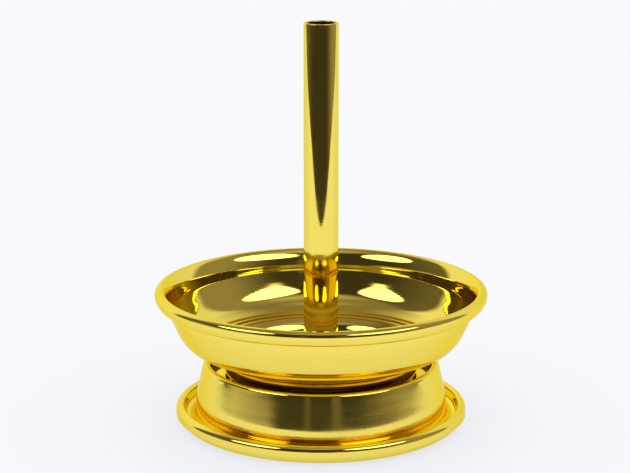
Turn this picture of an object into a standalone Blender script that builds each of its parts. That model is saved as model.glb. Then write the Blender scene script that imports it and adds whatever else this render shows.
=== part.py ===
"""Altar candlestick: a spun sheet-metal foot, a drip dish and an open candle tube, clamped
together by a tie rod, washers and a nut under the foot.  Metres, +Z up, standing on z = 0,
with the axis of every turned piece on Z."""
import math

import bmesh
import bpy

MM = 0.001

# ---------------------------------------------------------------- driving dimensions, millimetres
SHEET = 0.8                 # brass sheet of the foot and the dish
SEAT_GAP = 0.3              # clearance between pieces that bear on each other
SPUN_STEPS = 48             # divisions of one turn on the foot and the dish
TUBE_STEPS = 40
HARDWARE_STEPS = 24

FOOT_TOP_Z = 22.0           # crest of the roll round the top of the drum
FOOT_TOP_R = 41.4           # outer radius of that roll
FOOT_ROLL_R = 1.3
FOOT_PLATE_Z = 17.5         # recessed plate that carries the dish
PLATE_FILLET_R = 1.0        # between the plate and the roll
DRUM_R = 44.15              # drum radius above the gutter
GUTTER_R = 46.15            # middle of the gutter round the drum
GUTTER_Z = 2.1              # floor of the gutter
GUTTER_HALF = 2.0           # half of the gutter's width
LIP_R = 51.0                # outermost radius of the foot
LIP_TOP_Z = 7.0
LIP_ROLL_R = 2.1            # roll over the crest of the lip
SKIRT_R = 5.5               # quarter round from the lip down to the standing ring
STAND_R = 45.5              # outer edge of the flat standing ring
STAND_WIDTH = 1.2

DISH_R = 58.0               # outermost radius of the dish
DISH_TOP_Z = 48.35
RIM_ROLL_R = 1.9            # roll over the crest of the dish rim
FLANK_R = 9.7               # curve of the rim's inner side, below the roll
FLANK_LOW = 172.0           # where that curve starts, degrees round its centre
FLANK_HIGH = 141.0          # where it meets the roll
RIM_HEM_Z = 42.75           # lower edge of the rolled rim
SEAT_R = 32.3               # flat seat of the dish, inside its riser
RISER_R = 36.0              # top of the riser, where the shoulder starts
SHOULDER_Z = 26.2           # mid-surface of the shoulder
RIDGE = 0.35                # height of each ridge round the shoulder

TUBE_OD = 12.0
TUBE_ID = 10.0
TUBE_TOP_Z = 140.7
TUBE_EDGE = 0.2             # chamfer on the tube's upper edge

ROD_R = 2.95                # M6, drawn plain at its major diameter
ROD_LOW_Z = 6.0
ROD_TOP_Z = 31.5
CLEARANCE_R = 3.3           # holes for the rod in the foot and the dish
TAPPED_R = 3.1              # threaded holes of the plug and the nut, drawn plain
PLUG_R = 4.7
PLUG_HEIGHT = 12.0

WASHER_R = 3.3              # hole of both washers
FLAT_WASHER_R = 12.0
LOCK_WASHER_R = 5.9
WASHER_HEIGHT = 1.6
LOCK_SPLIT = 1.0            # width of the cut through the lock washer
NUT_FLATS = 10.0
NUT_HEIGHT = 5.0

# ---------------------------------------------------------------- levels worked out from them
DISH_FLOOR_Z = FOOT_PLATE_Z + SEAT_GAP          # underside of the dish's seat
TUBE_LOW_Z = DISH_FLOOR_Z + SHEET + SEAT_GAP
PLUG_Z = TUBE_LOW_Z + SEAT_GAP
FLAT_WASHER_Z = FOOT_PLATE_Z - SHEET - SEAT_GAP - WASHER_HEIGHT
LOCK_WASHER_Z = FLAT_WASHER_Z - SEAT_GAP - WASHER_HEIGHT
NUT_Z = LOCK_WASHER_Z - SEAT_GAP - NUT_HEIGHT

GOLD = (0.91, 0.75, 0.16)
STEEL = (0.62, 0.62, 0.60)


# ---------------------------------------------------------------- helpers
def clear_scene():
    for item in list(bpy.data.objects):
        bpy.data.objects.remove(item, do_unlink=True)
    for item in list(bpy.data.collections):
        bpy.data.collections.remove(item)


def give_material(obj, colour, roughness):
    """A metal of the object's own name."""
    metal = bpy.data.materials.new(obj.name)
    metal.use_nodes = True
    shader = metal.node_tree.nodes["Principled BSDF"]
    shader.inputs["Base Color"].default_value = (*colour, 1.0)
    shader.inputs["Roughness"].default_value = roughness
    shader.inputs["Metallic"].default_value = 1.0
    obj.data.materials.append(metal)


def arc(centre_r, centre_z, radius, start, end, spans):
    """Points along a circle in the r-z plane, from one angle to another, in degrees."""
    points = []
    for i in range(spans + 1):
        angle = math.radians(start + (end - start) * i / spans)
        points.append((centre_r + radius * math.cos(angle), centre_z + radius * math.sin(angle)))
    return points


def smooth(controls, spans):
    """A Catmull-Rom line through the control points."""
    before = tuple(2 * a - b for a, b in zip(controls[0], controls[1]))
    after = tuple(2 * a - b for a, b in zip(controls[-1], controls[-2]))
    line = [before, *controls, after]
    points = []
    for p0, p1, p2, p3 in zip(line, line[1:], line[2:], line[3:]):
        for k in range(spans):
            t = k / spans
            points.append(tuple(
                0.5 * (2 * b + (c - a) * t + (2 * a - 5 * b + 4 * c - d) * t ** 2
                       + (3 * b - a - 3 * c + d) * t ** 3)
                for a, b, c, d in zip(p0, p1, p2, p3)))
    points.append(controls[-1])
    return points


def turned(name, profile, steps, collection, closed=False):
    """Spin an r-z profile in millimetres about Z.  Its outer side runs from top to bottom."""
    verts = [(r * MM, 0.0, z * MM) for r, z in profile]
    edges = [(i, i + 1) for i in range(len(verts) - 1)]
    if closed:
        edges.append((len(verts) - 1, 0))
    mesh = bpy.data.meshes.new(name)
    mesh.from_pydata(verts, edges, [])
    obj = bpy.data.objects.new(name, mesh)
    collection.objects.link(obj)
    spin = obj.modifiers.new("Turned", "SCREW")
    spin.steps = steps
    spin.render_steps = steps
    spin.use_merge_vertices = True
    spin.merge_threshold = 1e-6
    return obj


def sheet(obj):
    """Give a turned mid-surface the thickness of the sheet."""
    solid = obj.modifiers.new("Sheet", "SOLIDIFY")
    solid.thickness = SHEET * MM
    solid.offset = 0.0
    solid.use_even_offset = True
    return obj


def ring(name, inner, outer, height, chamfer, steps, collection):
    """A turned ring standing on its own origin, with both outer edges chamfered."""
    profile = [(inner, height), (outer - chamfer, height), (outer, height - chamfer),
               (outer, chamfer), (outer - chamfer, 0.0), (inner, 0.0)]
    return turned(name, profile, steps, collection, closed=True)


def cut(obj, cutter, operation):
    cutter.hide_render = True
    cutter.display_type = "WIRE"
    boolean = obj.modifiers.new(cutter.name, "BOOLEAN")
    boolean.operation = operation
    boolean.object = cutter


# ---------------------------------------------------------------- foot
def foot_profile():
    """Mid-surface from the centre hole over the roll, drum, gutter and lip to the standing ring."""
    half = SHEET / 2
    plate_z = FOOT_PLATE_Z - half
    roll_r = FOOT_TOP_R - FOOT_ROLL_R
    roll_mid = FOOT_ROLL_R - half
    plate = [(CLEARANCE_R, plate_z)]
    fillet = arc(roll_r - roll_mid - PLATE_FILLET_R, plate_z + PLATE_FILLET_R, PLATE_FILLET_R,
                 270, 360, 2)
    roll = arc(roll_r, FOOT_TOP_Z - FOOT_ROLL_R, roll_mid, 180, 10, 5)
    wall_r = DRUM_R - half
    drum = [(wall_r - 2.2, 18.0), (wall_r - 1.4, 14.0), (wall_r - 0.6, 10.0), (wall_r, 6.2)]
    gutter = arc(GUTTER_R, GUTTER_Z + GUTTER_HALF, GUTTER_HALF + half, 180, 360, 6)
    crest = arc(LIP_R - LIP_ROLL_R, LIP_TOP_Z - LIP_ROLL_R, LIP_ROLL_R - half, 104, 0, 4)
    skirt = arc(STAND_R, SKIRT_R, SKIRT_R - half, -12, -90, 5)
    stand = [(STAND_R - STAND_WIDTH, half)]
    return plate + fillet + roll + drum + gutter + crest + skirt + stand


def build_foot(collection):
    obj = sheet(turned("foot", foot_profile(), SPUN_STEPS, collection))
    give_material(obj, GOLD, 0.12)


# ---------------------------------------------------------------- dish
def dish_profile():
    """Mid-surface from the centre hole over the seat, shoulder and bowl to the rolled rim."""
    half = SHEET / 2
    floor_z = DISH_FLOOR_Z + half
    seat = [(CLEARANCE_R, floor_z), (SEAT_R, floor_z)]
    riser = smooth([(SEAT_R + 1.0, floor_z + 0.7), (RISER_R - 1.9, SHOULDER_Z - 3.4),
                    (RISER_R - 1.3, SHOULDER_Z - 0.9), (RISER_R, SHOULDER_Z)], 2)
    ridges = [(38.4, SHOULDER_Z), (38.9, SHOULDER_Z + RIDGE), (41.2, SHOULDER_Z + RIDGE),
              (41.7, SHOULDER_Z + 2 * RIDGE)]
    roll_r, roll_z = DISH_R - RIM_ROLL_R, DISH_TOP_Z - RIM_ROLL_R
    set_back = FLANK_R - RIM_ROLL_R
    tilt = math.radians(FLANK_HIGH)
    flank = arc(roll_r - set_back * math.cos(tilt), roll_z - set_back * math.sin(tilt),
                FLANK_R - half, FLANK_LOW, FLANK_HIGH, 3)
    bowl = smooth([(43.0, SHOULDER_Z + 1.1), (46.4, 29.2), (49.1, 32.3), (51.2, 36.6),
                   (52.42, 39.8), (52.72, 41.3)], 2)
    crest = arc(roll_r, roll_z, RIM_ROLL_R - half, FLANK_HIGH, 0, 6)[1:]
    edge_r = DISH_R - half
    hem = smooth([(edge_r - 0.1, 45.5), (edge_r - 1.0, 43.9), (edge_r - 2.7, RIM_HEM_Z + half)], 2)
    return seat + riser + ridges + bowl + flank + crest + hem


def build_dish(collection):
    obj = sheet(turned("dish", dish_profile(), SPUN_STEPS, collection))
    give_material(obj, GOLD, 0.05)


# ---------------------------------------------------------------- candle tube and its plug
def build_tube(collection):
    """An open tube that stands on the dish and holds the candle."""
    inner, outer, height = TUBE_ID / 2, TUBE_OD / 2, TUBE_TOP_Z - TUBE_LOW_Z
    profile = [(inner, height - TUBE_EDGE), (inner + TUBE_EDGE, height),
               (outer - TUBE_EDGE, height), (outer, height - TUBE_EDGE), (outer, 0.0), (inner, 0.0)]
    obj = turned("tube", profile, TUBE_STEPS, collection, closed=True)
    obj.location.z = TUBE_LOW_Z * MM
    give_material(obj, GOLD, 0.05)


def build_plug(collection):
    """The threaded plug that closes the foot of the tube and takes the rod."""
    obj = ring("tube_plug", TAPPED_R, PLUG_R, PLUG_HEIGHT, 0.4, HARDWARE_STEPS, collection)
    obj.location.z = PLUG_Z * MM
    give_material(obj, GOLD, 0.25)


# ---------------------------------------------------------------- rod, washers and nut
def build_rod(collection):
    chamfer, height = 0.6, ROD_TOP_Z - ROD_LOW_Z
    profile = [(0.0, height), (ROD_R - chamfer, height), (ROD_R, height - chamfer),
               (ROD_R, chamfer), (ROD_R - chamfer, 0.0), (0.0, 0.0)]
    obj = turned("tie_rod", profile, HARDWARE_STEPS, collection)
    obj.location.z = ROD_LOW_Z * MM
    give_material(obj, STEEL, 0.35)


def build_flat_washer(collection):
    obj = ring("flat_washer", WASHER_R, FLAT_WASHER_R, WASHER_HEIGHT, 0.2, HARDWARE_STEPS, collection)
    obj.location.z = FLAT_WASHER_Z * MM
    give_material(obj, STEEL, 0.3)


def build_lock_washer(collection, cutters):
    """A ring cut through on one side."""
    obj = ring("lock_washer", WASHER_R, LOCK_WASHER_R, WASHER_HEIGHT, 0.15, HARDWARE_STEPS, collection)
    obj.location.z = LOCK_WASHER_Z * MM
    mesh = bpy.data.meshes.new("lock_split")
    bm = bmesh.new()
    bmesh.ops.create_cube(bm, size=1.0)
    bmesh.ops.scale(bm, vec=(2 * LOCK_WASHER_R * MM, LOCK_SPLIT * MM, 3 * WASHER_HEIGHT * MM),
                    verts=bm.verts)
    bm.to_mesh(mesh)
    bm.free()
    cutter = bpy.data.objects.new("lock_split", mesh)
    cutters.objects.link(cutter)
    cutter.location = (LOCK_WASHER_R * MM, 0.0, (LOCK_WASHER_Z + WASHER_HEIGHT / 2) * MM)
    cutter.rotation_euler.x = math.radians(20)
    cut(obj, cutter, "DIFFERENCE")
    give_material(obj, STEEL, 0.3)


def build_nut(collection, cutters):
    """A hexagonal prism with chamfered corners and a plain bore."""
    corner_r = NUT_FLATS / math.sqrt(3)
    mesh = bpy.data.meshes.new("nut")
    bm = bmesh.new()
    bmesh.ops.create_cone(bm, cap_ends=True, segments=6, radius1=corner_r * MM,
                          radius2=corner_r * MM, depth=NUT_HEIGHT * MM)
    bmesh.ops.translate(bm, vec=(0.0, 0.0, NUT_HEIGHT / 2 * MM), verts=bm.verts)
    bm.to_mesh(mesh)
    bm.free()
    obj = bpy.data.objects.new("nut", mesh)
    collection.objects.link(obj)
    obj.location.z = NUT_Z * MM

    face_r, wide_r = NUT_FLATS / 2 - 0.1, corner_r + 0.6
    rise = (wide_r - face_r) * math.tan(math.radians(30))
    crown = turned("nut_crown", [
        (0.0, NUT_HEIGHT), (face_r, NUT_HEIGHT), (wide_r, NUT_HEIGHT - rise),
        (wide_r, rise), (face_r, 0.0), (0.0, 0.0)], HARDWARE_STEPS, cutters)
    bore = turned("nut_bore", [
        (0.0, NUT_HEIGHT + 1.0), (TAPPED_R, NUT_HEIGHT + 1.0), (TAPPED_R, -1.0), (0.0, -1.0)],
        HARDWARE_STEPS, cutters)
    crown.location.z = bore.location.z = NUT_Z * MM
    cut(obj, crown, "INTERSECT")
    cut(obj, bore, "DIFFERENCE")
    give_material(obj, STEEL, 0.3)


def main():
    clear_scene()
    body = bpy.data.collections.new("altar_candlestick")
    cutters = bpy.data.collections.new("cutters")
    bpy.context.scene.collection.children.link(body)
    bpy.context.scene.collection.children.link(cutters)
    build_foot(body)
    build_dish(body)
    build_tube(body)
    build_plug(body)
    build_rod(body)
    build_flat_washer(body)
    build_lock_washer(body, cutters)
    build_nut(body, cutters)


main()
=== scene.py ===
"""Looks of the altar candlestick: fine turned shells over the CAD nodes, gold and steel
materials, a pale floor and soft studio light."""

import math

import bmesh
import bpy
from mathutils import Euler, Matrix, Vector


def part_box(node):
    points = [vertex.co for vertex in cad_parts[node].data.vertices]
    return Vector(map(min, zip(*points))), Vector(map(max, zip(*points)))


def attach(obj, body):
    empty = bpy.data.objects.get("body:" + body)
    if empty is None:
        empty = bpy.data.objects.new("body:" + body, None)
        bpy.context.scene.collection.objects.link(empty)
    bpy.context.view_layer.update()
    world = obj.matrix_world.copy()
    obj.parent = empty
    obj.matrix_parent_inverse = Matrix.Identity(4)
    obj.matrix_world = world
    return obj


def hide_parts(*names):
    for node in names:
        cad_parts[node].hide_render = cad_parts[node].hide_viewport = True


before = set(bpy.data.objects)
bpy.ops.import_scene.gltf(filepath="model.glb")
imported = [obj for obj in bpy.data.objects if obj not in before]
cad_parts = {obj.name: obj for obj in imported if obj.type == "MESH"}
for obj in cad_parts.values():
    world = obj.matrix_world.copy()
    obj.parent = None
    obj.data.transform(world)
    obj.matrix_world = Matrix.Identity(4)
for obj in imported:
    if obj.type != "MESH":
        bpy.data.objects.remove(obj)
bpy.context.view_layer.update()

# Sizes of the pieces are in millimetres, and angles of the profiles in degrees.
MM = 0.001
SHEET = 0.8                 # brass sheet of the foot and the dish
HALF = SHEET / 2
SEAT_GAP = 0.3              # between the plate of the foot and the dish
CLEARANCE_R = 3.3           # holes for the rod in the foot and the dish

SPUN_STEPS = 256            # divisions of one turn on the foot and the dish
TUBE_STEPS = 160
THREAD_STEPS = 64
CURVE_STEPS = 8             # between two control points of a smooth line
CREASE = 38                 # edges bent more than this stay sharp
THREAD_CREASE = 50
SPAN_END = 0.12             # how far the extra points lie from the ends of a long span
MERGE_DISTANCE = 1e-6       # in metres


# ---------------------------------------------------------------- shape helpers
def extent(node):
    """Outer radius, lowest and highest level of a CAD node, in millimetres."""
    low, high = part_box(node)
    return high.x / MM, low.z / MM, high.z / MM


def arc(centre_r, centre_z, radius, start, end, step=5.0):
    """Points round part of a circle, no more than a step apart."""
    spans = max(2, math.ceil(abs(end - start) / step))
    points = []
    for i in range(spans + 1):
        angle = math.radians(start + (end - start) * i / spans)
        points.append((centre_r + radius * math.cos(angle), centre_z + radius * math.sin(angle)))
    return points


def smooth(controls):
    """A Catmull-Rom line through the control points."""
    before = tuple(2 * a - b for a, b in zip(controls[0], controls[1]))
    after = tuple(2 * a - b for a, b in zip(controls[-1], controls[-2]))
    line = [before, *controls, after]
    points = []
    for p0, p1, p2, p3 in zip(line, line[1:], line[2:], line[3:]):
        for k in range(CURVE_STEPS):
            t = k / CURVE_STEPS
            points.append(tuple(
                0.5 * (2 * b + (c - a) * t + (2 * a - 5 * b + 4 * c - d) * t ** 2
                       + (3 * b - a - 3 * c + d) * t ** 3)
                for a, b, c, d in zip(p0, p1, p2, p3)))
    points.append(controls[-1])
    return points


def held(profile):
    """Extra points close to both ends of each long span, so its shading stays flat."""
    points = [profile[0]]
    for a, b in zip(profile, profile[1:]):
        length = math.dist(a, b)
        if length > 5 * SPAN_END:
            for t in (SPAN_END / length, 1 - SPAN_END / length):
                points.append((a[0] + (b[0] - a[0]) * t, a[1] + (b[1] - a[1]) * t))
        points.append(b)
    return points


def add_object(name, data):
    """An object in the scene for a mesh or a camera."""
    obj = bpy.data.objects.new(name, data)
    bpy.context.scene.collection.objects.link(obj)
    return obj


def shade(mesh, crease):
    """Shade a mesh smooth, but for the edges bent more than the crease angle."""
    mesh.shade_smooth()
    mesh.set_sharp_from_angle(angle=math.radians(crease))


def turned(name, profile, steps=SPUN_STEPS, closed=False, thickness=0.0):
    """Spin an r-z profile about Z, and give it a thickness when it is the middle of a sheet."""
    verts = [(r * MM, 0.0, z * MM) for r, z in profile]
    edges = [(i, i + 1) for i in range(len(verts) - 1)]
    if closed:
        edges.append((len(verts) - 1, 0))
    outline = bpy.data.meshes.new(name + "_profile")
    outline.from_pydata(verts, edges, [])
    source = add_object(name + "_profile", outline)
    spin = source.modifiers.new("Turned", "SCREW")
    spin.steps = spin.render_steps = steps
    spin.use_merge_vertices = True
    spin.merge_threshold = MERGE_DISTANCE
    if thickness:
        solid = source.modifiers.new("Sheet", "SOLIDIFY")
        solid.thickness = thickness * MM
        solid.offset = 0.0
        solid.use_even_offset = True
    bpy.context.view_layer.update()
    graph = bpy.context.evaluated_depsgraph_get()
    made = bpy.data.meshes.new_from_object(source.evaluated_get(graph))
    bpy.data.objects.remove(source)
    made.name = name
    shade(made, CREASE)
    return add_object(name, made)


# ---------------------------------------------------------------- foot
LIP_R, _, FOOT_TOP_Z = extent("foot")
DISH_R, DISH_LOW_Z, DISH_TOP_Z = extent("dish")
FOOT_PLATE_Z = DISH_LOW_Z - SEAT_GAP            # top of the recessed plate
PLATE_FILLET_R = 1.0
FOOT_TOP_R = 41.4                               # outer radius of the roll round the top
FOOT_ROLL_R = 1.3
DRUM = [(41.2, 19.9), (41.66, 18.0), (42.6, 14.0), (43.45, 10.2), (43.75, 7.0)]
GUTTER_R, GUTTER_MID_Z, GUTTER_ROUND = 46.15, 4.1, 2.4
LIP_CORNER_R, LIP_CORNER_Z, LIP_CORNER_ROUND = 49.3, 5.85, 0.75
LIP_ROLL_R, LIP_ROLL_MID_Z = 2.1, 4.9
STAND_R = 45.5                                  # outer edge of the flat standing ring
STAND_WIDTH = 1.2
SKIRT_R = 5.5                                   # quarter round from the lip to that ring


def foot_profile():
    """Mid-surface from the centre hole over the roll, drum, gutter and lip to the standing ring."""
    plate_z = FOOT_PLATE_Z - HALF
    roll_mid = FOOT_ROLL_R - HALF
    roll_r = FOOT_TOP_R - FOOT_ROLL_R
    plate = [(CLEARANCE_R, plate_z)]
    fillet = arc(roll_r - roll_mid - PLATE_FILLET_R, plate_z + PLATE_FILLET_R, PLATE_FILLET_R,
                 270, 360)
    crest = arc(roll_r, FOOT_TOP_Z - FOOT_ROLL_R, roll_mid, 180, 24)
    gutter = arc(GUTTER_R, GUTTER_MID_Z, GUTTER_ROUND, 180, 360)
    corner = arc(LIP_CORNER_R, LIP_CORNER_Z, LIP_CORNER_ROUND, 180, 100, 10)
    lip = arc(LIP_R - LIP_ROLL_R, LIP_ROLL_MID_Z, LIP_ROLL_R - HALF, 78, 0)
    skirt = arc(STAND_R, SKIRT_R, SKIRT_R - HALF, -6, -90)
    stand = [(STAND_R - STAND_WIDTH, HALF)]
    return plate + fillet + crest + smooth(DRUM) + gutter + corner + lip + skirt + stand


foot = turned("foot_shell", held(foot_profile()), thickness=SHEET)
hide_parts("foot")
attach(foot, "foot")


# ---------------------------------------------------------------- dish
SEAT_R = 32.3                                   # flat seat, inside the riser
SEAT_Z = FOOT_PLATE_Z + SEAT_GAP + HALF         # mid-surface of the seat
SHOULDER_Z = 26.2                               # mid-surface of the shoulder
RISER = [(33.3, SEAT_Z + 0.7), (33.8, 22.0), (35.0, 24.4), (36.7, SHOULDER_Z)]
RIDGE_STARTS = (38.4, 41.2)
RIDGE = 0.35                                    # height of each ridge
RIDGE_WIDTH, RIDGE_ROUND, RIDGE_EASE = 0.5, 0.12, 0.05
BOWL = [(43.0, 27.3), (46.4, 29.2), (49.1, 32.3), (51.2, 36.6), (52.42, 39.8), (52.72, 41.3)]
RIM_ROLL_R = 1.9
FLANK_R = 9.7                                   # curve of the wall just below that roll
FLANK_LOW, FLANK_HIGH = 172, 141                # its ends, round its centre
EDGE_R = DISH_R - HALF
HEM = [(EDGE_R - 0.1, 45.5), (EDGE_R - 1.0, 43.9), (EDGE_R - 2.7, 43.1), (EDGE_R - 3.9, 42.75)]


def dish_profile():
    """Mid-surface from the centre hole over the seat, shoulder and bowl to the rolled rim."""
    seat = [(CLEARANCE_R, SEAT_Z), (SEAT_R, SEAT_Z)]
    ridges = []
    level = SHOULDER_Z
    for r in RIDGE_STARTS:
        ridges += [(r, level), (r + RIDGE_ROUND, level + RIDGE_EASE),
                   (r + RIDGE_WIDTH - RIDGE_ROUND, level + RIDGE - RIDGE_EASE),
                   (r + RIDGE_WIDTH, level + RIDGE)]
        level += RIDGE
    roll_r, roll_z = DISH_R - RIM_ROLL_R, DISH_TOP_Z - RIM_ROLL_R
    tilt = math.radians(FLANK_HIGH)
    reach = FLANK_R - RIM_ROLL_R
    flank = arc(roll_r - reach * math.cos(tilt), roll_z - reach * math.sin(tilt), FLANK_R - HALF,
                FLANK_LOW, FLANK_HIGH, 3)
    bowl = smooth([*BOWL, flank[0]])[:-1]
    crest = arc(roll_r, roll_z, RIM_ROLL_R - HALF, FLANK_HIGH, 0)[1:]
    return seat + smooth(RISER) + ridges + bowl + flank + crest + smooth(HEM)


dish = turned("dish_shell", held(dish_profile()), thickness=SHEET)
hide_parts("dish")
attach(dish, "dish")


# ---------------------------------------------------------------- tube
TUBE_R, TUBE_LOW_Z, TUBE_TOP_Z = extent("tube")
BORE_R = 5.0
TUBE_EDGE = 0.25                                # rounding of the upper edge
TUBE_LEVELS = [TUBE_TOP_Z - 0.6, 100.0, 60.0, TUBE_LOW_Z + 0.2]    # rings round its wall


def tube_profile():
    """Outline of the wall, from the inner side of the upper edge over it and down outside."""
    top = arc(BORE_R + TUBE_EDGE, TUBE_TOP_Z - TUBE_EDGE, TUBE_EDGE, 180, 90, 15)
    top += arc(TUBE_R - TUBE_EDGE, TUBE_TOP_Z - TUBE_EDGE, TUBE_EDGE, 90, 0, 15)
    side = [(TUBE_R, z) for z in TUBE_LEVELS]
    end = [(TUBE_R, TUBE_LOW_Z), (BORE_R, TUBE_LOW_Z)]
    bore = [(BORE_R, z) for z in reversed(TUBE_LEVELS)]
    return top + side + end + bore


tube = turned("tube_shell", tube_profile(), steps=TUBE_STEPS, closed=True)
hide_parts("tube")
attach(tube, "tube")


# ---------------------------------------------------------------- threaded rod
ROD_R, ROD_LOW_Z, ROD_TOP_Z = extent("tie_rod")
PITCH = 1.0
THREAD_DEPTH = 0.55
THREAD_SLOPE = 2.5                              # steepness of the thread's flanks
END_CHAMFER = 0.6
LEVELS_PER_TURN = 10


def thread_radius(angle, z):
    """Radius of the M6 thread at an angle and a level, tapering away at both ends."""
    phase = (z / PITCH - angle / (2 * math.pi)) % 1.0
    ridge = min(1.0, max(0.0, THREAD_SLOPE / 2 - THREAD_SLOPE * abs(phase - 0.5)))
    radius = ROD_R - THREAD_DEPTH * (1.0 - ridge)
    to_end = min(z - ROD_LOW_Z, ROD_TOP_Z - z)
    return min(radius, ROD_R - END_CHAMFER + to_end)


def threaded_rod(name):
    """A closed rod whose side is one helical ridge."""
    levels = round((ROD_TOP_Z - ROD_LOW_Z) / PITCH * LEVELS_PER_TURN)
    made = bmesh.new()
    rings = []
    for k in range(levels + 1):
        z = ROD_LOW_Z + (ROD_TOP_Z - ROD_LOW_Z) * k / levels
        row = []
        for i in range(THREAD_STEPS):
            angle = 2 * math.pi * i / THREAD_STEPS
            radius = thread_radius(angle, z) * MM
            row.append(made.verts.new((radius * math.cos(angle), radius * math.sin(angle), z * MM)))
        rings.append(row)
    for low_row, high_row in zip(rings, rings[1:]):
        for i in range(THREAD_STEPS):
            j = (i + 1) % THREAD_STEPS
            made.faces.new((low_row[i], low_row[j], high_row[j], high_row[i]))
    made.faces.new(rings[0][::-1])
    made.faces.new(rings[-1])
    mesh = bpy.data.meshes.new(name)
    made.to_mesh(mesh)
    made.free()
    shade(mesh, THREAD_CREASE)
    return add_object(name, mesh)


rod = threaded_rod("tie_rod_thread")
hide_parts("tie_rod")
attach(rod, "tube")


# ---------------------------------------------------------------- node helpers
RADIUS_WEIGHT = 1.37        # of the radius beside the height, in the spacing of lathe lines


class Graph:
    """Short calls for building a node tree.  A value is a plain number or a socket."""

    def __init__(self, tree):
        self.tree = tree

    def node(self, kind, **settings):
        made = self.tree.nodes.new(kind)
        for key, value in settings.items():
            setattr(made, key, value)
        return made

    def link(self, source, target):
        self.tree.links.new(source, target)

    def feed(self, value, target):
        if isinstance(value, bpy.types.NodeSocket):
            self.link(value, target)
        else:
            target.default_value = value

    def math(self, operation, *values):
        made = self.node("ShaderNodeMath", operation=operation)
        for value, target in zip(values, made.inputs):
            self.feed(value, target)
        return made.outputs[0]

    def ramp(self, value, low, high, out_low=0.0, out_high=1.0):
        """Goes smoothly from out_low to out_high as the value goes from low to high."""
        made = self.node("ShaderNodeMapRange", interpolation_type="SMOOTHSTEP")
        for key, number in (("From Min", low), ("From Max", high), ("To Min", out_low),
                            ("To Max", out_high)):
            made.inputs[key].default_value = number
        self.link(value, made.inputs["Value"])
        return made.outputs["Result"]

    def band(self, value, low, high, edge):
        """1 between low and high, falling to 0 over edge on either side."""
        up = self.ramp(value, low - edge / 2, low + edge / 2)
        down = self.ramp(value, high - edge / 2, high + edge / 2, 1.0, 0.0)
        return self.math("MULTIPLY", up, down)

    def ellipse(self, x, y, centre, half, edge):
        """1 inside an ellipse, falling to 0 over edge, as a share of its size."""
        parts = []
        for value, middle, size in ((x, centre[0], half[0]), (y, centre[1], half[1])):
            offset = self.math("DIVIDE", self.math("SUBTRACT", value, middle), size)
            parts.append(self.math("MULTIPLY", offset, offset))
        distance = self.math("SQRT", self.math("ADD", *parts))
        return self.ramp(distance, 1.0 - edge, 1.0 + edge, 1.0, 0.0)

    def mix(self, share, a, b):
        """From value a at a share of 0 to value b at a share of 1."""
        made = self.node("ShaderNodeMix", data_type="FLOAT")
        for value, target in ((share, made.inputs[0]), (a, made.inputs[2]), (b, made.inputs[3])):
            self.feed(value, target)
        return made.outputs[0]

    def blend(self, share, a, b):
        """From colour a at a share of 0 to colour b at a share of 1."""
        made = self.node("ShaderNodeMix", data_type="RGBA")
        self.link(share, made.inputs[0])
        made.inputs[6].default_value = (*a, 1.0)
        made.inputs[7].default_value = (*b, 1.0)
        return made.outputs[2]

    def noise(self, vector, scale, detail, rough=0.5):
        made = self.node("ShaderNodeTexNoise")
        made.inputs["Scale"].default_value = scale
        made.inputs["Detail"].default_value = detail
        made.inputs["Roughness"].default_value = rough
        self.link(vector, made.inputs["Vector"])
        return made.outputs["Fac"]

    def axes(self, coordinates):
        """The coordinates of the named kind, and their x, y and z."""
        where = self.node("ShaderNodeTexCoord").outputs[coordinates]
        split = self.node("ShaderNodeSeparateXYZ")
        self.link(where, split.inputs[0])
        return where, *split.outputs


def turned_coordinates(g):
    """Position of a surface point, and its radius, angle and height about the turning axis."""
    where, x, y, z = g.axes("Object")
    radius = g.math("SQRT", g.math("ADD", g.math("MULTIPLY", x, x), g.math("MULTIPLY", y, y)))
    angle = g.math("ARCTAN2", y, x)
    return where, radius, angle, z


def lathe_lines(g, radius, angle, z, across, around, detail, rough=0.5):
    """Noise drawn out into fine lines that run round the axis."""
    wrap_x = g.math("MULTIPLY", g.math("SINE", angle), around)
    wrap_y = g.math("MULTIPLY", g.math("COSINE", angle), around)
    along = g.math("ADD", g.math("MULTIPLY", radius, RADIUS_WEIGHT), z)
    made = g.node("ShaderNodeCombineXYZ")
    for value, target in zip((wrap_x, wrap_y, g.math("MULTIPLY", along, across)), made.inputs):
        g.link(value, target)
    return g.noise(made.outputs[0], 1.0, detail, rough)


def new_material(name, colour, roughness, edge=(1.0, 1.0, 1.0)):
    """A metal, with the tint that it keeps at grazing angles."""
    made = bpy.data.materials.new(name)
    made.use_nodes = True
    shader = made.node_tree.nodes["Principled BSDF"]
    shader.inputs["Base Color"].default_value = (*colour, 1.0)
    shader.inputs["Metallic"].default_value = 1.0
    shader.inputs["Roughness"].default_value = roughness
    shader.inputs["Specular Tint"].default_value = (*edge, 1.0)
    return made, Graph(made.node_tree), shader


def bump(g, shader, height, distance):
    made = g.node("ShaderNodeBump")
    made.inputs["Distance"].default_value = distance
    made.inputs["Strength"].default_value = 1.0
    g.link(height, made.inputs["Height"])
    g.link(made.outputs["Normal"], shader.inputs["Normal"])


# ---------------------------------------------------------------- materials
# Levels, radii and depths are in metres here, and a band is its low end, high end and soft edge.
GOLD = (0.95, 0.77, 0.135)
GOLD_EDGE = (0.98, 0.88, 0.35)
DISH_ROUGHNESS = 0.045
TUBE_ROUGHNESS = 0.04
LINE_ROUGHNESS = 0.02                           # what the lathe lines add
LINE_DEPTH = 0.0000012

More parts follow.
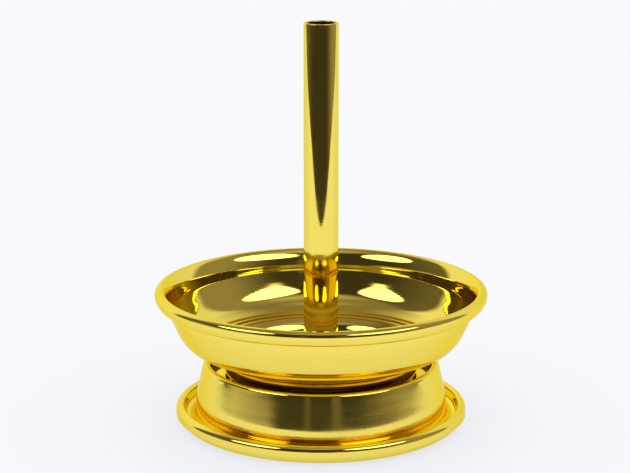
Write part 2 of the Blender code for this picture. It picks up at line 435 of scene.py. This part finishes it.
FOOT_ROUGHNESS = 0.1                            # of the foot as a whole
BRIGHT_ROUGHNESS = 0.05                         # of its roll, gutter and lip
BRUSHED = {"out_low": 0.08, "out_high": 0.19}   # roughness of the brushing
PATCHES = {"out_low": -0.02, "out_high": 0.06}  # what broad patches add to it
BRUSHED_DEPTH = 0.000006
DRUM_LEVELS = (0.0070, 0.0200, 0.002)
DRUM_RADII = (0.0405, 0.0447, 0.0004)
# painted shade: the recess between the dish and the roll of the foot, where the base colour is
# darkened to stand in for the shadow there
PAINTED_SHADE_LEVELS = (0.0160, 0.0212, 0.0005)
PAINTED_SHADE_RADII = (0.0376, 0.0394, 0.0006)
PAINTED_SHADE_TONE = (0.14, 0.085, 0.025)
CREVICE_ROUGHNESS = 0.45

MOTTLE_SHADE = 0.82                             # darkest part of the mottling
HARDWARE_DEPTH = 0.000006


def polished_gold(name, roughness):
    """Bright plated gold with faint lathe lines and a little handling haze."""
    made, g, shader = new_material(name, GOLD, roughness, GOLD_EDGE)
    where, radius, angle, z = turned_coordinates(g)
    haze = g.noise(where, scale=60.0, detail=4.0)
    lines = lathe_lines(g, radius, angle, z, across=2600.0, around=1.2, detail=3.0)
    hazed = g.ramp(haze, 0.45, 0.75, out_low=roughness * 0.7, out_high=roughness * 1.9)
    rough = g.math("ADD", hazed, g.math("MULTIPLY", lines, LINE_ROUGHNESS))
    g.link(rough, shader.inputs["Roughness"])
    bump(g, shader, lines, LINE_DEPTH)
    return made


def foot_gold(name):
    """Plated gold, brushed round the drum, bright on the roll, gutter and lip, and rougher with
    painted shade in the recess between the dish and the roll: its base colour is darkened there to
    stand in for the shadow in that gap."""
    made, g, shader = new_material(name, GOLD, FOOT_ROUGHNESS, GOLD_EDGE)
    where, radius, angle, z = turned_coordinates(g)
    drum = g.math("MULTIPLY", g.band(z, *DRUM_LEVELS), g.band(radius, *DRUM_RADII))
    fine = lathe_lines(g, radius, angle, z, across=5200.0, around=3.0, detail=4.0, rough=0.7)
    broad = lathe_lines(g, radius, angle, z, across=900.0, around=1.0, detail=3.0)
    patches = g.noise(where, scale=45.0, detail=3.0)
    brushed = g.math("ADD", g.ramp(fine, 0.3, 0.75, **BRUSHED),
                     g.ramp(patches, 0.4, 0.7, **PATCHES))
    # mask of the painted shade in the recess between the dish and the roll
    painted_shade = g.math("MULTIPLY", g.band(z, *PAINTED_SHADE_LEVELS), g.band(radius, *PAINTED_SHADE_RADII))
    plated = g.mix(drum, BRIGHT_ROUGHNESS, brushed)
    g.link(g.mix(painted_shade, plated, CREVICE_ROUGHNESS), shader.inputs["Roughness"])
    # painted shade: the base colour turns dark in that recess, where shade falls
    g.link(g.blend(painted_shade, GOLD, PAINTED_SHADE_TONE), shader.inputs["Base Color"])
    bump(g, shader, g.math("MULTIPLY", g.math("ADD", fine, broad), drum), BRUSHED_DEPTH)
    return made


def plated_steel(name, colour, roughness):
    """Plated hardware: soft mottling with fine turning lines."""
    made, g, shader = new_material(name, colour, roughness)
    where, radius, angle, z = turned_coordinates(g)
    mottle = g.noise(where, scale=320.0, detail=4.0)
    lines = lathe_lines(g, radius, angle, z, across=3000.0, around=1.0, detail=2.0)
    dark = [channel * MOTTLE_SHADE for channel in colour]
    g.link(g.blend(g.ramp(mottle, 0.35, 0.65), dark, colour), shader.inputs["Base Color"])
    rough = g.ramp(mottle, 0.3, 0.7, out_low=roughness * 0.8, out_high=roughness * 1.4)
    g.link(rough, shader.inputs["Roughness"])
    bump(g, shader, lines, HARDWARE_DEPTH)
    return made


def paint(obj, made):
    obj.data.materials.clear()
    obj.data.materials.append(made)


paint(foot, foot_gold("gold_foot"))
paint(dish, polished_gold("gold_dish", DISH_ROUGHNESS))
paint(tube, polished_gold("gold_tube", TUBE_ROUGHNESS))
paint(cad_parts["tube_plug"], plated_steel("brass_plug", (0.86, 0.66, 0.30), 0.3))
paint(rod, plated_steel("steel_rod", (0.66, 0.66, 0.64), 0.32))
paint(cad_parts["flat_washer"], plated_steel("steel_flat_washer", (0.70, 0.70, 0.69), 0.28))
paint(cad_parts["lock_washer"], plated_steel("steel_lock_washer", (0.52, 0.52, 0.51), 0.34))
paint(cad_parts["nut"], plated_steel("steel_nut", (0.66, 0.66, 0.65), 0.3))


# ---------------------------------------------------------------- floor
# Lengths are in metres here.
FLOOR_TINT = (0.965, 0.97, 1.0)
FLOOR_TONE, TABLE_BACK_TONE = 0.985, 0.90
TONE_FROM_Y, TONE_TO_Y = -0.10, 0.06            # the front tone ends, and the back tone starts
FLOOR_Z, TABLE_Z = -0.0001, -0.0002
FLOOR_LIGHT, TABLE_LIGHT = 0.78, 0.72           # shares of their own light
FLOOR_OUTLINE = [(-6.0, -6.0), (6.0, -6.0), (6.0, 6.0), (-6.0, 6.0)]
TABLE_RIGHT = [(0.16, -0.31), (0.31, -0.29), (0.47, -0.23), (0.64, -0.08), (0.78, 0.17),
               (0.96, 0.43), (1.6, 1.3), (1.6, 2.5)]


def floor(name, outline, z, front_tone, back_tone, own_light):
    """A matt pale floor that gives off a share of its light itself.  It is clear from underneath,
    so the hardware under the foot can be looked at."""
    mesh = bpy.data.meshes.new(name)
    mesh.from_pydata([(x, y, z) for x, y in outline], [], [tuple(range(len(outline)))])
    obj = add_object(name, mesh)
    made = bpy.data.materials.new(name)
    made.use_nodes = True
    g = Graph(made.node_tree)
    shader = made.node_tree.nodes["Principled BSDF"]
    _, _, y, _ = g.axes("Object")
    level = g.ramp(y, TONE_FROM_Y, TONE_TO_Y, front_tone, back_tone)
    for key, share in (("Base Color", 1.0 - own_light), ("Emission Color", own_light)):
        tone = g.node("ShaderNodeCombineColor")
        for channel, tint in zip(tone.inputs, FLOOR_TINT):
            g.link(g.math("MULTIPLY", level, tint * share), channel)
        g.link(tone.outputs[0], shader.inputs[key])
    shader.inputs["Emission Strength"].default_value = 1.0
    shader.inputs["Roughness"].default_value = 0.9
    shader.inputs["Specular IOR Level"].default_value = 0.0
    sides = g.node("ShaderNodeMixShader")
    g.link(g.node("ShaderNodeNewGeometry").outputs["Backfacing"], sides.inputs[0])
    g.link(shader.outputs[0], sides.inputs[1])
    g.link(g.node("ShaderNodeBsdfTransparent").outputs[0], sides.inputs[2])
    g.link(sides.outputs[0], made.node_tree.nodes["Material Output"].inputs["Surface"])
    obj.data.materials.append(made)
    return obj


# The camera sees one floor, and reflections see the other, which has an edge and a darker back.
seen_floor = floor("floor", FLOOR_OUTLINE, FLOOR_Z, FLOOR_TONE, FLOOR_TONE, FLOOR_LIGHT)
seen_floor.visible_glossy = False
seen_floor.visible_shadow = False
seen_floor.visible_diffuse = False
table_outline = TABLE_RIGHT + [(-x, y) for x, y in reversed(TABLE_RIGHT)]
mirrored_floor = floor("table", table_outline, TABLE_Z, FLOOR_TONE, TABLE_BACK_TONE, TABLE_LIGHT)
mirrored_floor.visible_camera = False
mirrored_floor.visible_diffuse = False
mirrored_floor.visible_shadow = False


# ---------------------------------------------------------------- light
# Azimuths run from the front to the right, and heights from the horizon up, in degrees.
# A change is where it starts and ends, and the brightness or the share there: 0 and 1 if not given.
RIGHT_SIDE = (30, 88, 0.045, 0.30)
LEFT_SIDE = (-110, -50, 0.10, 0.0)
CEILING = (68, 88, 0.24, 0.42)
CEILING_STARTS = (47, 59)
SCREEN_LEFT = (-121, -111, 1.0, 0.0)            # the screen's edge on the left of the front
SCREEN_RIGHT = (110, 120)
SCREEN_TOP = (36, 64, 1.0, 0.0)
SCREEN_BRIGHTNESS = (-60, 60, 0.92, 0.82)
WARM_LEVELS = (0.25, 0.8, 1.0, 0.0)             # the tint fades as the brightness rises
# A band is its low end, high end and soft edge.
STRIPS = ((-15, -10, 3), 0.07), ((10, 18, 3), 0.09)
STRIP_HEIGHTS = (-4, 22, 6)
SILL_AZIMUTHS = (-96, -44, 16)
SILL_HEIGHTS = (-3, 6, 4)
SILL_BRIGHTNESS = 0.4
# A lamp or a glow is its centre, half size and soft edge.
GLOW = ((10, 54), (58, 14), 0.6)
GLOW_BRIGHTNESS = 0.28
LEFT_LAMP = ((-60, 38.5), (24, 11), 0.06)
RIGHT_LAMP = ((50, 40.5), (30, 11), 0.06)
LAMP_BRIGHTNESS = 2.6
WHITE = (1.0, 1.0, 1.0)
WARM = (1.0, 0.86, 0.82)


def studio_world():
    """A pale screen at the back, a dark room with a soft lamp high on either side of the front,
    and a dim ceiling.  Only reflections see them; the floor is lit evenly."""
    world = bpy.data.worlds.new("studio")
    bpy.context.scene.world = world
    world.use_nodes = True
    g = Graph(world.node_tree)
    _, x, y, z = g.axes("Generated")
    front = g.math("MULTIPLY", y, -1.0)
    azimuth = g.math("MULTIPLY", g.math("ARCTAN2", x, front), 180 / math.pi)
    height = g.math("MULTIPLY", g.math("ARCSINE", z), 180 / math.pi)

    room = g.math("ADD", g.ramp(azimuth, *RIGHT_SIDE), g.ramp(azimuth, *LEFT_SIDE))
    for azimuths, brightness in STRIPS:
        strip = g.math("MULTIPLY", g.band(azimuth, *azimuths), g.band(height, *STRIP_HEIGHTS))
        room = g.math("ADD", room, g.math("MULTIPLY", strip, brightness))
    sill = g.math("MULTIPLY", g.band(azimuth, *SILL_AZIMUTHS), g.band(height, *SILL_HEIGHTS))
    room = g.math("ADD", room, g.math("MULTIPLY", sill, SILL_BRIGHTNESS))
    glow = g.math("MULTIPLY", g.ellipse(azimuth, height, *GLOW), GLOW_BRIGHTNESS)
    ceiling = g.math("ADD", g.ramp(height, *CEILING), glow)
    open_room = g.mix(g.ramp(height, *CEILING_STARTS), room, ceiling)

    behind = g.math("ADD", g.ramp(azimuth, *SCREEN_LEFT), g.ramp(azimuth, *SCREEN_RIGHT))
    screen = g.math("MULTIPLY", behind, g.ramp(height, *SCREEN_TOP))
    surroundings = g.mix(screen, open_room, g.ramp(azimuth, *SCREEN_BRIGHTNESS))
    left_lamp = g.ellipse(azimuth, height, *LEFT_LAMP)
    right_lamp = g.ellipse(azimuth, height, *RIGHT_LAMP)
    lamps = g.math("MULTIPLY", g.math("ADD", left_lamp, right_lamp), LAMP_BRIGHTNESS)
    level = g.math("ADD", surroundings, lamps)

    reflected = g.node("ShaderNodeLightPath").outputs["Is Glossy Ray"]
    background = world.node_tree.nodes["Background"]
    g.link(g.mix(reflected, 1.0, level), background.inputs["Strength"])
    warmth = g.math("MULTIPLY", g.ramp(level, *WARM_LEVELS), reflected)
    g.link(g.blend(warmth, WHITE, WARM), background.inputs["Color"])


studio_world()


# ---------------------------------------------------------------- camera
SENSOR_WIDTH = 36.0                             # in millimetres, as is the focal length
FOCAL_LENGTH = 113.8
NEAREST = 0.01
CAMERA_PLACE = (-0.0035, -0.6716, 0.2285)
LOOK_DOWN = 0.2371                              # radians below the horizon
LOOK_ASIDE = -0.0021                            # radians, less than zero to the right

camera = bpy.data.cameras.new("camera")
camera.sensor_width = SENSOR_WIDTH
camera.lens = FOCAL_LENGTH
camera.clip_start = NEAREST
camera_object = add_object("camera", camera)
camera_object.location = CAMERA_PLACE
camera_object.rotation_euler = Euler((math.pi / 2 - LOOK_DOWN, 0.0, LOOK_ASIDE))
bpy.context.scene.camera = camera_object

bpy.context.scene.view_settings.view_transform = "Standard"
bpy.context.scene.cycles.max_bounces = 16
bpy.context.scene.cycles.glossy_bounces = 12
bpy.context.scene.cycles.caustics_reflective = False
